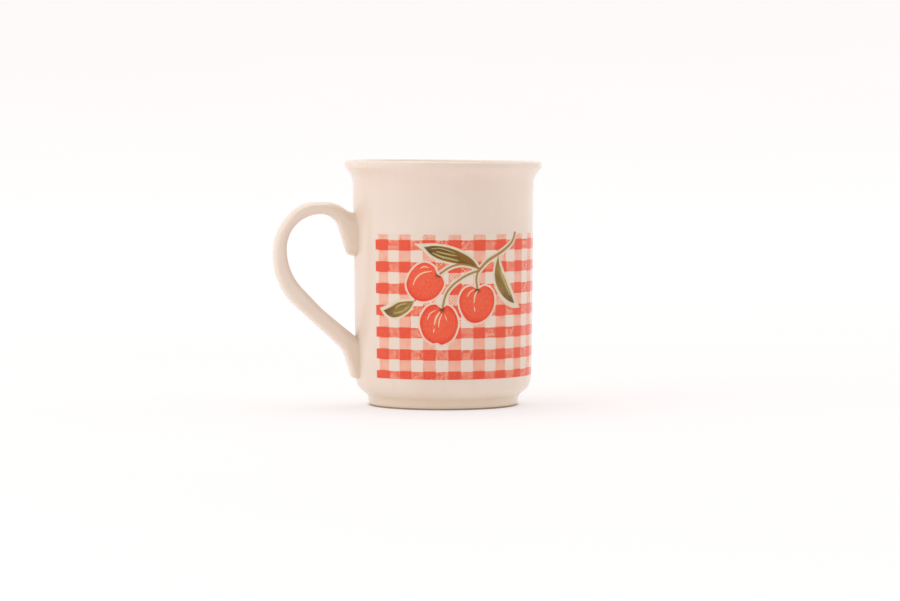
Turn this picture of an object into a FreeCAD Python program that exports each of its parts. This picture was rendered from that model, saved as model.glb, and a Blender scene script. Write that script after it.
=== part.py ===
"""Ceramic mug: a jiggered earthenware cup with a flared rim and a turned foot ring, a strap handle stuck on
with luting slip, a thin glaze coat that leaves the foot bare, and fired transfer prints on the glaze.

Frame: millimetres, +Z up along the cup's axis, origin at the centre of the foot ring's bearing plane, handle
on -X. The cup's sizes are those of the fired clay; the glaze adds its own thickness on top of them.
"""

import FreeCAD, Part
import math
import os

import Sketcher
from FreeCAD import Vector

SIZES = {
    "glaze": 0.25,
    # the clay cup's outside, from the table up
    "foot_radius": 28.9,
    "foot_edge_round": 0.7,
    "foot_crease_radius": 29.62,
    "foot_crease_height": 3.88,
    "foot_crease_round": 1.3,
    "shoulder_radius": 34.35,
    "shoulder_height": 8.0,
    "shoulder_round": 6.3,
    "neck_radius": 35.33,
    "neck_height": 89.5,
    "neck_round": 7.75,
    "rim_radius": 38.4,
    "rim_height": 95.75,
    "lip_edge_height": 93.4,
    "lip_edge_round": 0.8,
    "lip_round": 1.25,
    # the clay cup's inside
    "lip_inner_radius": 35.95,
    "lip_inner_round": 1.15,
    "mouth_radius": 32.4,
    "mouth_height": 88.8,
    "mouth_round": 9.0,
    "cavity_radius": 31.0,
    "cavity_round": 8.0,
    "floor_height": 7.3,
    # the foot ring's underside, whose bearing band stays bare
    "bearing_radius": 26.1,
    "recess_radius": 24.5,
    "recess_height": 3.0,
    "recess_round": 1.2,
    "bare_height": 1.2,
    # the surface inside the clay where the glaze skins part
    "parting_heel_inset": 0.9,
    "parting_heel_rise": 1.0,
    "parting_neck_drop": 3.5,
    "parting_neck_round": 8.0,
    "parting_lip_drop": 2.0,
    "parting_round": 2.0,
    # how far a helper solid reaches past what it cuts
    "clearance": 4.0,
    # the handle: a strap seen from its side, as radii from the cup's axis and heights
    "strap_width": 12.6,
    "strap_edge_round": 1.3,
    "handle_reach": 66.75,
    "handle_top": 79.4,
    "loop_reach": 62.65,
    "loop_top": 75.6,
    "root_depth": 32.6,
    # the slip that sticks the handle on
    "slip": 0.6,
    # the fired prints: ink thickness, the check's band and the sprig's place on it
    "ink": 0.06,
    "check_top": 68.1,
    "check_bottom": 12.2,
    "check_sweep": 287.2,
    "check_start": 213.6,
    "sprig_angle": -95.8,
    "sprig_repeat": 180.0,
    "sprig_ceiling": 77.5,
    "stem_width": 0.9,
}

# The handle's side view: each corner's radius from the cup's axis, its height and how much it is rounded.
HANDLE_OUTSIDE = [
    ("root_depth", "handle_top - 4.7", None),
    ("37.3", "handle_top - 4.4", "8"),
    ("43.1", "handle_top", "12"),
    ("56.8", "handle_top", "13"),
    ("handle_reach", "67.2", "20"),
    ("handle_reach", "47.3", "26"),
    ("39.8", "22.6", "11"),
    ("36.4", "11.5", "1.6"),
    ("root_depth", "10.5", None),
]
HANDLE_LOOP = [
    ("root_depth", "24.5", None),
    ("48.7", "37.9", "40"),
    ("loop_reach", "52.7", "22"),
    ("loop_reach", "loop_top", "13.5"),
    ("42.8", "loop_top", "8"),
    ("38.1", "59.8", "2.0"),
    ("root_depth", "58.2", None),
]

# The sprig, laid flat: a place is its length round the wall from the sprig's centre line and its height.
FRUITS = [(-8.9, 50.0, 7.4), (-3.6, 33.5, 7.6), (11.4, 41.3, 7.3)]
LEAVES = [
    # tip, then the belly on one side, the stalk, and the belly on the other, each belly with its rounding
    [(-12.6, 63.6), (2.4, 66.4, 12), (12.2, 55.8), (-1.2, 55.4, 16)],
    [(32.4, 39.6), (20.0, 41.2, 9), (20.4, 60.0), (26.6, 51.6, 12)],
    [(-28.7, 38.4), (-20.8, 44.4, 7), (-13.2, 41.6), (-20.2, 33.6, 6)],
]
STEMS = [
    [(29.5, 68.4), (26.8, 62.2), (12.6, 56.9)],
    [(12.4, 55.6), (4.2, 57.6), (-2.6, 53.4)],
    [(11.6, 54.6), (0.8, 50.6), (-2.2, 41.6)],
    [(12.6, 54.2), (10.4, 51.2), (11.2, 49.0)],
]

doc = FreeCAD.newDocument("ceramic_mug")
sheet = doc.addObject("Spreadsheet::Sheet", "Sizes")
for row, (alias, value) in enumerate(SIZES.items(), start=1):
    sheet.set(f"A{row}", alias)
    sheet.set(f"B{row}", str(value))
    sheet.setAlias(f"B{row}", alias)
doc.recompute()


def cell(text):
    """An expression in bare cell names, as FreeCAD wants it: 'rim_height - 1' is Sizes.rim_height - 1."""
    words = text.replace("(", " ( ").replace(")", " ) ").split()
    return " ".join(f"Sizes.{word}" if word in SIZES else word for word in words)


def number(text):
    """What such an expression comes to, for placing geometry before its constraints hold it."""
    found = sheet.evalExpression(cell(text))
    return float(getattr(found, "Value", found))


def bind(thing, name, text):
    thing.setExpression(name, cell(text))


# ---- sketches -------------------------------------------------------------------------------------------


def side_sketch(owner, name):
    """An empty sketch in a body's XZ plane: its X is the frame's X and its Y is height."""
    sketch = owner.newObject("Sketcher::SketchObject", name)
    plane = next(f for f in owner.Origin.OriginFeatures if f.Role == "XZ_Plane")
    sketch.AttachmentSupport = [(plane, "")]
    sketch.MapMode = "FlatFace"
    return sketch


def hold_point(sketch, geometry, point, across, up, label):
    """Holds one point of a sketch at an expression's place; an across of '0' is on the vertical axis."""
    if across == "0":
        sketch.addConstraint(Sketcher.Constraint("PointOnObject", geometry, point, -2))
    else:
        index = sketch.addConstraint(Sketcher.Constraint("DistanceX", -1, 1, geometry, point, number(across)))
        sketch.renameConstraint(index, f"{label}_across")
        bind(sketch, f"Constraints.{label}_across", across)
    index = sketch.addConstraint(Sketcher.Constraint("DistanceY", -1, 1, geometry, point, number(up)))
    sketch.renameConstraint(index, f"{label}_up")
    bind(sketch, f"Constraints.{label}_up", up)


def rounded_outline(sketch, corners, label=""):
    """A closed outline of straight runs. Each corner is (across, up, rounding), as expressions; a rounding of
    None leaves it sharp, and any other is an arc tangent to both runs."""
    places = [Vector(number(a), number(u), 0) for a, u, _ in corners]
    count = len(corners)
    ends = []
    for i, (_, _, rounding) in enumerate(corners):
        back = (places[i - 1] - places[i]).normalize()
        ahead = (places[(i + 1) % count] - places[i]).normalize()
        if rounding is None:
            ends.append((places[i], places[i], None))
            continue
        radius = number(rounding)
        half = back.getAngle(ahead) / 2
        run = radius / math.tan(half)
        middle = places[i] + (back + ahead).normalize() * (radius / math.sin(half))
        bulge = places[i] + (back + ahead).normalize() * (radius / math.sin(half) - radius)
        ends.append((places[i] + back * run, places[i] + ahead * run, (middle, radius, bulge)))
    runs = [
        sketch.addGeometry(Part.LineSegment(ends[i][1], ends[(i + 1) % count][0])) for i in range(count)
    ]
    for i, (across, up, rounding) in enumerate(corners):
        before, after = runs[i - 1], runs[i]
        if rounding is None:
            sketch.addConstraint(Sketcher.Constraint("Coincident", before, 2, after, 1))
            hold_point(sketch, after, 1, across, up, f"{label}corner{i}")
            continue
        first, last, (_, radius, bulge) = ends[i]
        arc = sketch.addGeometry(Part.Arc(first, bulge, last))
        # an arc is stored counter-clockwise, so its first point may be either end
        start = sketch.getPoint(arc, 1)
        arc_start, arc_end = (1, 2) if start.distanceToPoint(first) < start.distanceToPoint(last) else (2, 1)
        sketch.addConstraint(Sketcher.Constraint("Tangent", before, 2, arc, arc_start))
        sketch.addConstraint(Sketcher.Constraint("Tangent", arc, arc_end, after, 1))
        index = sketch.addConstraint(Sketcher.Constraint("Radius", arc, radius))
        sketch.renameConstraint(index, f"{label}corner{i}_round")
        bind(sketch, f"Constraints.{label}corner{i}_round", rounding)
        corner = sketch.addGeometry(Part.Point(places[i]), True)
        sketch.addConstraint(Sketcher.Constraint("PointOnObject", corner, 1, before))
        sketch.addConstraint(Sketcher.Constraint("PointOnObject", corner, 1, after))
        hold_point(sketch, corner, 1, across, up, f"{label}corner{i}")


# ---- solids -----------------------------------------------------------------------------------------------


def revolved(name, corners, sweep=None):
    """A body turned about the cup's axis from a section given as radius, height and rounding."""
    body = doc.addObject("PartDesign::Body", name)
    sketch = side_sketch(body, f"{name}_section")
    rounded_outline(sketch, corners)
    turned = body.newObject("PartDesign::Revolution", f"{name}_turned")
    turned.Profile = sketch
    turned.ReferenceAxis = (sketch, ["V_Axis"])
    if sweep is None:
        turned.Angle = 360
    else:
        bind(turned, "Angle", sweep)
    doc.recompute()
    return body


def cut(name, base, *tools):
    for i, tool in enumerate(tools):
        made = doc.addObject("Part::Cut", name if i == len(tools) - 1 else f"{name}_less_{tool.Name}")
        made.Base, made.Tool = base, tool
        base = made
    return base


def common(name, *shapes):
    made = doc.addObject("Part::MultiCommon", name)
    made.Shapes = list(shapes)
    return made


def cup_outside(grow):
    """The cup's outside from the foot ring's crease to the lip, grown along its normal by an expression."""
    return [
        (
            f"foot_crease_radius + 0.92 * {grow}",
            f"foot_crease_height - 0.53 * {grow}",
            f"foot_crease_round - {grow}",
        ),
        (f"shoulder_radius + {grow}", f"shoulder_height - 0.46 * {grow}", f"shoulder_round + {grow}"),
        (f"neck_radius + {grow}", f"neck_height - 0.35 * {grow}", f"neck_round - {grow}"),
        (f"rim_radius + {grow}", f"lip_edge_height - 0.35 * {grow}", f"lip_edge_round + {grow}"),
        (f"rim_radius + {grow}", f"rim_height + {grow}", f"lip_round + {grow}"),
    ]


def cup_inside(grow):
    """The inside of the cup from the lip to the floor, grown inwards by an expression along its normal."""
    return [
        (f"lip_inner_radius - {grow}", f"rim_height + {grow}", f"lip_inner_round + {grow}"),
        (f"mouth_radius - {grow}", f"mouth_height + 0.3 * {grow}", f"mouth_round + {grow}"),
        (f"cavity_radius - {grow}", f"floor_height + {grow}", f"cavity_round - {grow}"),
        ("0", f"floor_height + {grow}", None),
    ]


def make_cup():
    """The clay cup in one piece, with its flared rim, its foot ring and the recess under its floor."""
    return revolved(
        "cup_body",
        [
            ("0", "recess_height", None),
            ("recess_radius", "recess_height", "recess_round"),
            ("bearing_radius", "0", "foot_edge_round"),
            ("foot_radius", "0", "foot_edge_round"),
            *cup_outside("0"),
            *cup_inside("0"),
        ],
    )


def strap_edges(shape):
    """The names of the long edges beside every wall that is as wide as the strap, but for the flat roots."""
    width = number("strap_width")
    names = []
    for i, edge in enumerate(shape.Edges, start=1):
        walls = [f for f in shape.ancestorsOfType(edge, Part.Face) if f.BoundBox.YLength > width - 0.01]
        walls = [f for f in walls if f.BoundBox.XLength > 0.01]
        if walls and edge.BoundBox.YLength < 0.01:
            names.append(f"Edge{i}")
    return names


def round_strap_edges(body, name):
    doc.recompute()
    base = body.Tip
    fillet = body.newObject("PartDesign::Fillet", name)
    fillet.Base = (base, strap_edges(base.Shape))
    bind(fillet, "Radius", "strap_edge_round")
    doc.recompute()


def make_handle_blank():
    """The handle as it is cut from its strap, before its ends are fitted to the cup's wall."""
    body = doc.addObject("PartDesign::Body", "handle_blank")
    outside = side_sketch(body, "handle_outside")
    rounded_outline(outside, [(f"0 - ({radius})", up, rounding) for radius, up, rounding in HANDLE_OUTSIDE])
    strap = body.newObject("PartDesign::Pad", "strap")
    strap.Profile = outside
    strap.Midplane = True
    bind(strap, "Length", "strap_width")
    round_strap_edges(body, "outside_edges")
    loop = side_sketch(body, "handle_loop")
    rounded_outline(loop, [(f"0 - ({radius})", up, rounding) for radius, up, rounding in HANDLE_LOOP])
    opening = body.newObject("PartDesign::Pocket", "finger_loop")
    opening.Profile = loop
    opening.Type = "ThroughAll"
    opening.Midplane = True
    round_strap_edges(body, "loop_edges")
    return body


def make_seat():
    """The space inside the handle's ends: the cup's outside, grown by the slip, as one solid."""
    return revolved(
        "handle_seat",
        [
            ("0", "foot_crease_height - 0.53 * slip", None),
            *cup_outside("slip"),
            ("0", "rim_height + slip", None),
        ],
    )


def make_coat(name, source):
    """A solid larger than its source by the glaze's thickness all round."""
    coat = doc.addObject("Part::Offset", name)
    coat.Source = source
    bind(coat, "Value", "glaze")
    coat.Mode = 0
    coat.Join = 0
    return coat


def make_glazes(cup, cup_coat, handle_blank):
    """The glaze coat in three skins, which leave the foot ring's bearing band bare and meet on the lip."""
    floor_middle = "(recess_height + floor_height) / 2"
    foot_middle = "(bearing_radius + foot_radius) / 2"
    lip_middle = "(rim_radius + lip_inner_radius) / 2"
    above = "rim_height + clearance"
    parting = [
        ("(shoulder_radius + cavity_radius) / 2 - parting_heel_inset", "shoulder_height + parting_heel_rise",
         "parting_round"),
        ("(neck_radius + mouth_radius) / 2", "neck_height - parting_neck_drop", "parting_neck_round"),
        (lip_middle, "rim_height - parting_lip_drop", "parting_round"),
        (lip_middle, above, None),
    ]
    lining_zone = revolved(
        "lining_zone",
        [("0", floor_middle, None), ("bearing_radius", floor_middle, None), *parting, ("0", above, None)],
    )
    outside_zone = revolved(
        "outside_zone",
        [
            (foot_middle, "bare_height", None),
            ("rim_radius + clearance", "bare_height", None),
            ("rim_radius + clearance", above, None),
            *reversed(parting),
            (foot_middle, floor_middle, None),
        ],
    )
    recess_zone = revolved(
        "recess_zone",
        [
            ("0", "bare_height", None),
            (foot_middle, "bare_height", None),
            (foot_middle, floor_middle, None),
            ("0", floor_middle, None),
        ],
    )
    return [
        cut("outside_glaze", common("outside_coat", cup_coat, outside_zone), cup, handle_blank),
        cut("lining_glaze", common("lining_coat", cup_coat, lining_zone), cup),
        cut("recess_glaze", common("recess_coat", cup_coat, recess_zone), cup),
    ]


def make_slips(cup, handle_blank, seat):
    """The two beds of slip between the handle's ends and the cup's wall."""
    upper_half = doc.addObject("Part::Box", "upper_half")
    bind(upper_half, "Length", "2 * handle_reach")
    bind(upper_half, "Width", "2 * strap_width")
    bind(upper_half, "Height", "rim_height / 2")
    bind(upper_half, "Placement.Base.x", "0 - 2 * handle_reach")
    bind(upper_half, "Placement.Base.y", "0 - strap_width")
    bind(upper_half, "Placement.Base.z", "rim_height / 2")
    beds = common("slip_beds", handle_blank, seat)
    upper = cut("upper_luting_slip", common("upper_bed", beds, upper_half), cup)
    lower = cut("lower_luting_slip", beds, upper_half, cup)
    return [upper, lower]


def wall_radius(height, grow):
    """The cup's straight outer wall as a cone: its radius at a height, grown by an expression."""
    rise = f"({height} - shoulder_height) / (neck_height - shoulder_height)"
    return f"shoulder_radius + (neck_radius - shoulder_radius) * {rise} + {grow}"


def wall_film(name, low, high, inner, outer, sweep=None):
    """A thin film on the straight wall between two heights, from one growth of the clay to another."""
    return revolved(
        name,
        [
            (wall_radius(low, inner), low, None),
            (wall_radius(low, outer), low, None),
            (wall_radius(high, outer), high, None),
            (wall_radius(high, inner), high, None),
        ],
        sweep,
    )


def make_check_print():
    """The woven check's ground, a band round the wall that stops short of the handle on both sides."""
    band = wall_film("check_print", "check_bottom", "check_top", "glaze", "glaze + ink", "check_sweep")
    band.Placement = FreeCAD.Placement(Vector(0, 0, 0), Vector(0, 0, 1), number("check_start"))
    bind(band, "Placement.Rotation.Angle", "check_start")
    return band


def laid_flat(place):
    """A place on the unrolled wall, as it lies across a flat sketch that faces the wall."""
    radius = number("(shoulder_radius + neck_radius) / 2 + glaze")
    return radius * math.sin(place[0] / radius), place[1]


def as_corner(place, rounding=None):
    across, up = laid_flat(place)
    return f"{across:.2f}", f"{up:.2f}", None if rounding is None else f"{rounding:.2f}"


def ribbon(places):
    """The outline of a stem that runs through three places and bends at the middle one."""
    flat = [Vector(*laid_flat(place), 0) for place in places]
    half = number("stem_width") / 2
    turn = (flat[1] - flat[0]).getAngle(flat[2] - flat[1])
    run = min(flat[0].distanceToPoint(flat[1]), flat[1].distanceToPoint(flat[2]))
    bend = 0.8 * run / math.tan(turn / 2)
    sides = []
    for i, middle in enumerate(flat):
        along = (flat[min(i + 1, 2)] - flat[max(i - 1, 0)]).normalize()
        sides.append((middle, Vector(-along.y, along.x, 0) * half))
    left = [middle + side for middle, side in sides]
    right = [middle - side for middle, side in reversed(sides)]
    roundings = [None, bend, None, None, bend, None]
    return [
        (f"{p.x:.2f}", f"{p.y:.2f}", None if r is None else f"{r:.2f}")
        for p, r in zip(left + right, roundings)
    ]


def draw_fruits(sketch):
    for i, (around, up, radius) in enumerate(FRUITS):
        across, up = laid_flat((around, up))
        circle = sketch.addGeometry(Part.Circle(Vector(across, up, 0), Vector(0, 0, 1), radius))
        hold_point(sketch, circle, 3, f"{across:.2f}", f"{up:.2f}", f"fruit{i}")
        index = sketch.addConstraint(Sketcher.Constraint("Radius", circle, radius))
        sketch.renameConstraint(index, f"fruit{i}_radius")
        bind(sketch, f"Constraints.fruit{i}_radius", f"{radius}")


def draw_outlines(outlines):
    def draw(sketch):
        for i, outline in enumerate(outlines):
            rounded_outline(sketch, outline, f"shape{i}_")
    return draw


def make_sprig(name, draw):
    """One ink of the sprig on the front of the cup, and the same again on the back."""
    films = []
    for side in ("front", "back"):
        turn = "sprig_angle + 90" + (" + sprig_repeat" if side == "back" else "")
        sketch = doc.addObject("Sketcher::SketchObject", f"{name}_{side}_outline")
        upright = FreeCAD.Rotation(Vector(1, 0, 0), 90)
        sketch.Placement = FreeCAD.Placement(
            Vector(0, 0, 0), FreeCAD.Rotation(Vector(0, 0, 1), number(turn)) * upright
        )
        draw(sketch)
        prism = doc.addObject("Part::Extrusion", f"{name}_{side}_prism")
        prism.Base = sketch
        prism.DirMode = "Normal"
        prism.Solid = True
        bind(prism, "LengthFwd", "rim_radius + clearance")
        film = wall_film(
            f"{name}_{side}_film", "check_bottom", "sprig_ceiling", "glaze + ink", "glaze + 2 * ink"
        )
        films.append(common(f"{name}_{side}", film, prism))
    group = doc.addObject("Part::Compound", name)
    group.Links = films
    return group


def check(pieces):
    """Stops with a plain message if any object failed, before anything is written."""
    for thing in doc.Objects:
        if "Invalid" in thing.State or "Error" in thing.State:
            raise RuntimeError(f"{thing.Name} failed: {thing.State}")
    for piece in pieces:
        if piece.Shape.isNull() or not piece.Shape.isValid():
            raise RuntimeError(f"{piece.Name} has no valid shape")
        print(f"{piece.Name}: {len(piece.Shape.Solids)} solids, {piece.Shape.Volume:.1f} mm3")


def main():
    cup = make_cup()
    blank = make_handle_blank()
    seat = make_seat()
    cup_coat = make_coat("cup_coat", cup)
    fruits = make_sprig("fruit_print", draw_fruits)
    stems = cut("stem_print", make_sprig("stem_ink", draw_outlines([ribbon(stem) for stem in STEMS])), fruits)
    leaf_outlines = [[as_corner(corner[:2], *corner[2:]) for corner in leaf] for leaf in LEAVES]
    leaves = cut("leaf_print", make_sprig("leaf_ink", draw_outlines(leaf_outlines)), fruits, stems)
    pieces = [
        cup,
        cut("handle", blank, seat),
        *make_slips(cup, blank, seat),
        *make_glazes(cup, cup_coat, blank),
        cut("handle_glaze", make_coat("handle_coat", blank), blank, cup_coat),
        make_check_print(),
        fruits,
        leaves,
        stems,
    ]
    doc.recompute()
    check(pieces)
    os.makedirs("parts", exist_ok=True)
    for piece in pieces:
        piece.Label = piece.Name
        piece.Shape.exportStep(f"parts/{piece.Label}.step")


main()
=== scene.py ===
import math

import bpy
import numpy as np
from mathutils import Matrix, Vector
from mathutils.geometry import delaunay_2d_cdt


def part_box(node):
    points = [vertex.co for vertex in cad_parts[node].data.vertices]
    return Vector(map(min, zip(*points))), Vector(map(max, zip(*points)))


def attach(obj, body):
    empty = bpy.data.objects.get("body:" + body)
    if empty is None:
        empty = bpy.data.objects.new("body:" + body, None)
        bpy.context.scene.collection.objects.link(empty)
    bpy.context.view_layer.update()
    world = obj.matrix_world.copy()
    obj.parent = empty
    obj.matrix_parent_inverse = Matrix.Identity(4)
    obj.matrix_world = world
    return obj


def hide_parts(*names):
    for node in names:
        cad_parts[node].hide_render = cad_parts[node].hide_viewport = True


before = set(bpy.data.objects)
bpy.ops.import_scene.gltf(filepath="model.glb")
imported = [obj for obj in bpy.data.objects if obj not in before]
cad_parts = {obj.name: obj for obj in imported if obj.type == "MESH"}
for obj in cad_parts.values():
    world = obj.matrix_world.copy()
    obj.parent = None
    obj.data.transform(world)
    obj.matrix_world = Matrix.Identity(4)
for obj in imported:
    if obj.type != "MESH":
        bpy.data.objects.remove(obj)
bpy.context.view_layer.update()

# Shapes are worked out in millimetres, in the CAD model's frame, and become metres when a mesh is made.
MM = 0.001
ON_AXIS = 1e-6
_, GLAZE_HIGH = (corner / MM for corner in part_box("outside_glaze"))
HANDLE_LOW, HANDLE_HIGH = (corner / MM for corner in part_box("handle_glaze"))
CHECK_LOW, CHECK_HIGH = (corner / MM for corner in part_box("check_print"))

HEIGHT = GLAZE_HIGH.z
REACH = -HANDLE_LOW.x
CUP_FACETS = 320

# How firing has moved the clay: shares of the radius, and millimetres at the rim.
RIM_OVAL = 0.0030
WALL_LOBES = 0.0012
RIM_LIFT = 0.12
RIM_WAVE = 0.05
RIM_TILT_X, RIM_TILT_Y = 0.26, 0.08


# ---- outlines ---------------------------------------------------------------------------------------------


def rounded(corners, step=0.45):
    """Points along an open run of corners, each (x, y) or (x, y, rounding). A rounding is a tangent arc."""
    places = [Vector(corner[:2]) for corner in corners]
    points = [places[0]]
    for i in range(1, len(places) - 1):
        here = places[i]
        radius = corners[i][2] if len(corners[i]) > 2 else 0
        if not radius:
            points.append(here)
            continue
        back = (places[i - 1] - here).normalized()
        ahead = (places[i + 1] - here).normalized()
        half = back.angle(ahead) / 2
        middle = here + (back + ahead).normalized() * (radius / math.sin(half))
        first = here + back * (radius / math.tan(half)) - middle
        turn = math.pi - 2 * half
        if back.cross(ahead) > 0:
            turn = -turn
        count = max(4, math.ceil(abs(turn) * radius / step))
        for j in range(count + 1):
            angle = turn * j / count
            cos, sin = math.cos(angle), math.sin(angle)
            points.append(middle + Vector((cos * first.x - sin * first.y, sin * first.x + cos * first.y)))
    points.append(places[-1])
    return points


def refined(points, longest):
    """The same line with its long stretches divided."""
    result = [points[0]]
    for start, end in zip(points, points[1:]):
        count = max(1, math.ceil((end - start).length / longest))
        result.extend(start.lerp(end, j / count) for j in range(1, count + 1))
    return result


def curve(points, steps=8):
    """A smooth line through a few points, which it passes at an even pace."""
    places = [Vector(point) for point in points]
    places = [2 * places[0] - places[1], *places, 2 * places[-1] - places[-2]]
    result = []
    for p0, p1, p2, p3 in zip(places, places[1:], places[2:], places[3:]):
        for j in range(steps):
            t = j / steps
            result.append(
                0.5 * (2 * p1 + (p2 - p0) * t + (2 * p0 - 5 * p1 + 4 * p2 - p3) * t * t
                       + (3 * p1 - p0 - 3 * p2 + p3) * t ** 3)
            )
    return result + [places[-2]]


def loop(points, steps=6):
    """A smooth closed line through a few points."""
    around = [points[-1], *points, points[0], points[1]]
    return curve(around, steps)[steps:-steps - 1]


def smoothstep(low, high, value):
    """From 0 at low to 1 at high, with an even start and end; low may be the greater."""
    t = min(max((value - low) / (high - low), 0.0), 1.0)
    return t * t * (3 - 2 * t)


def uneven(point):
    """A place on the cup, moved as firing moves it: the rim dips and the wall goes out of round."""
    x, y, z = point
    angle = math.atan2(y, x)
    rim = smoothstep(0.8 * HEIGHT, HEIGHT, z)
    wall = smoothstep(0.1 * HEIGHT, 0.5 * HEIGHT, z)
    oval = RIM_OVAL * rim * math.cos(2 * angle - 0.4)
    lobes = WALL_LOBES * wall * math.cos(3 * angle + 0.03 * z)
    out = 1 + oval + lobes
    wave = RIM_WAVE * math.cos(3 * angle + 0.5)
    lift = rim * (RIM_LIFT + wave - RIM_TILT_X * math.cos(angle) - RIM_TILT_Y * math.sin(angle))
    return Vector((x * out, y * out, z + lift))


# ---- meshes -----------------------------------------------------------------------------------------------


def make_object(name, vertices, faces, materials, face_materials=None):
    """A smooth object from places in millimetres; face_materials numbers each face's material."""
    mesh = bpy.data.meshes.new(name)
    mesh.from_pydata([Vector(v) * MM for v in vertices], [], faces)
    for material in materials:
        mesh.materials.append(material)
    if face_materials is not None:
        mesh.polygons.foreach_set("material_index", face_materials)
    mesh.polygons.foreach_set("use_smooth", [True] * len(faces))
    mesh.validate()
    made = bpy.data.objects.new(name, mesh)
    bpy.context.scene.collection.objects.link(made)
    return made


def turned(profile, facets, kinds):
    """A profile turned round the axis, with a kind for each stretch. A point on the axis makes one vertex.
    Gives the vertices, each point's ring of their numbers, the faces, and each face's kind."""
    vertices, rings, faces, face_kinds = [], [], [], []
    for point in profile:
        size = 1 if point.x < ON_AXIS else facets
        rings.append(range(len(vertices), len(vertices) + size))
        for j in range(size):
            angle = 2 * math.pi * j / facets
            vertices.append((point.x * math.cos(angle), point.x * math.sin(angle), point.y))
    for low, high, kind in zip(rings, rings[1:], kinds):
        for j in range(facets):
            k = (j + 1) % facets
            if len(low) == 1:
                faces.append((low[0], high[k], high[j]))
            elif len(high) == 1:
                faces.append((low[j], low[k], high[0]))
            else:
                faces.append((low[j], low[k], high[k], high[j]))
            face_kinds.append(kind)
    return vertices, rings, faces, face_kinds


def paint(made, name, values):
    """A value at each of a mesh's points, for its material to read."""
    attribute = made.data.attributes.new(name, "FLOAT", "POINT")
    attribute.data.foreach_set("value", values)


def keep(made, slot, *nodes):
    """A finished piece rides on the only body and stands for its CAD nodes, which it hides; its slot is not
    used.
    """
    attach(made, "root")
    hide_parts(*nodes)


# ---- materials --------------------------------------------------------------------------------------------


def srgb(red, green, blue):
    """A colour given as eight-bit screen values, as the linear colour that a shader takes."""
    linear = [((c / 255 + 0.055) / 1.055) ** 2.4 if c > 10 else c / 255 / 12.92 for c in (red, green, blue)]
    return (*linear, 1.0)


# A Mix node has sockets for numbers and vectors too: these are its factor, its two colours and its result.
MIX_COLOUR_INPUTS = (0, 6, 7)
MIX_COLOUR_OUTPUT = 2


class Nodes:
    """A material's node tree, with short calls for the nodes used here."""

    def __init__(self, name, **settings):
        self.material = bpy.data.materials.new(name)
        self.material.use_nodes = True
        self.tree = self.material.node_tree
        self.shader = self.tree.nodes["Principled BSDF"]
        for socket, value in settings.items():
            self.shader.inputs[socket.replace("_", " ")].default_value = value

    def link(self, output, target):
        self.tree.links.new(output, target)

    def node(self, kind, **settings):
        made = self.tree.nodes.new(kind)
        for name, value in settings.items():
            setattr(made, name, value)
        return made

    def put(self, target, value):
        """Gives a socket its value, or links it to the output that makes its value."""
        if isinstance(value, bpy.types.NodeSocket):
            self.link(value, target)
        else:
            target.default_value = value

    def feed(self, made, inputs):
        for name, value in inputs.items():
            self.put(made.inputs[name], value)

    def place(self):
        return self.node("ShaderNodeTexCoord").outputs["Object"]

    def flat(self, layer):
        return self.node("ShaderNodeUVMap", uv_map=layer).outputs["UV"]

    def painted(self, name):
        return self.node("ShaderNodeAttribute", attribute_name=name).outputs["Fac"]

    def length(self, vector):
        made = self.node("ShaderNodeVectorMath", operation="LENGTH")
        self.link(vector, made.inputs[0])
        return made.outputs["Value"]

    def stretch(self, vector, scale, turn=0.0):
        """A vector scaled and turned, so that a pattern runs finer one way than the other, or at a slant."""
        mapping = self.node("ShaderNodeMapping")
        mapping.inputs["Scale"].default_value = scale
        mapping.inputs["Rotation"].default_value = (0, 0, turn)
        self.link(vector, mapping.inputs["Vector"])
        return mapping.outputs["Vector"]

    def noise(self, vector, scale, detail=3.0, roughness=0.5):
        texture = self.node("ShaderNodeTexNoise")
        self.feed(texture, {"Vector": vector, "Scale": scale, "Detail": detail, "Roughness": roughness})
        return texture.outputs["Fac"]

    def waves(self, vector, scale, distortion):
        texture = self.node("ShaderNodeTexWave")
        self.feed(texture, {"Vector": vector, "Scale": scale, "Distortion": distortion, "Detail Scale": 2.0})
        return texture.outputs["Fac"]

    def span(self, value, low, high, to_low=0.0, to_high=1.0):
        """A value carried from one range to another, and held at its ends."""
        mapped = self.node("ShaderNodeMapRange")
        self.feed(
            mapped,
            {"Value": value, "From Min": low, "From Max": high, "To Min": to_low, "To Max": to_high},
        )
        return mapped.outputs["Result"]

    def math(self, operation, first, second=0.0):
        made = self.node("ShaderNodeMath", operation=operation)
        for socket, value in zip(made.inputs, (first, second)):
            self.put(socket, value)
        return made.outputs["Value"]

    def mix(self, factor, first, second):
        made = self.node("ShaderNodeMix", data_type="RGBA")
        for i, value in zip(MIX_COLOUR_INPUTS, (factor, first, second)):
            self.put(made.inputs[i], value)
        return made.outputs[MIX_COLOUR_OUTPUT]

    def bump(self, height, strength, distance, normal=None):
        made = self.node("ShaderNodeBump")
        self.feed(made, {"Height": height, "Strength": strength, "Distance": distance})
        if normal is not None:
            self.link(normal, made.inputs["Normal"])
        return made.outputs["Normal"]

    def finish(self, colour=None, roughness=None, normal=None):
        """Links what the shader takes from textures, and gives the material."""
        for name, output in (("Base Color", colour), ("Roughness", roughness), ("Normal", normal)):
            if output is not None:
                self.link(output, self.shader.inputs[name])
        return self.material


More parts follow.
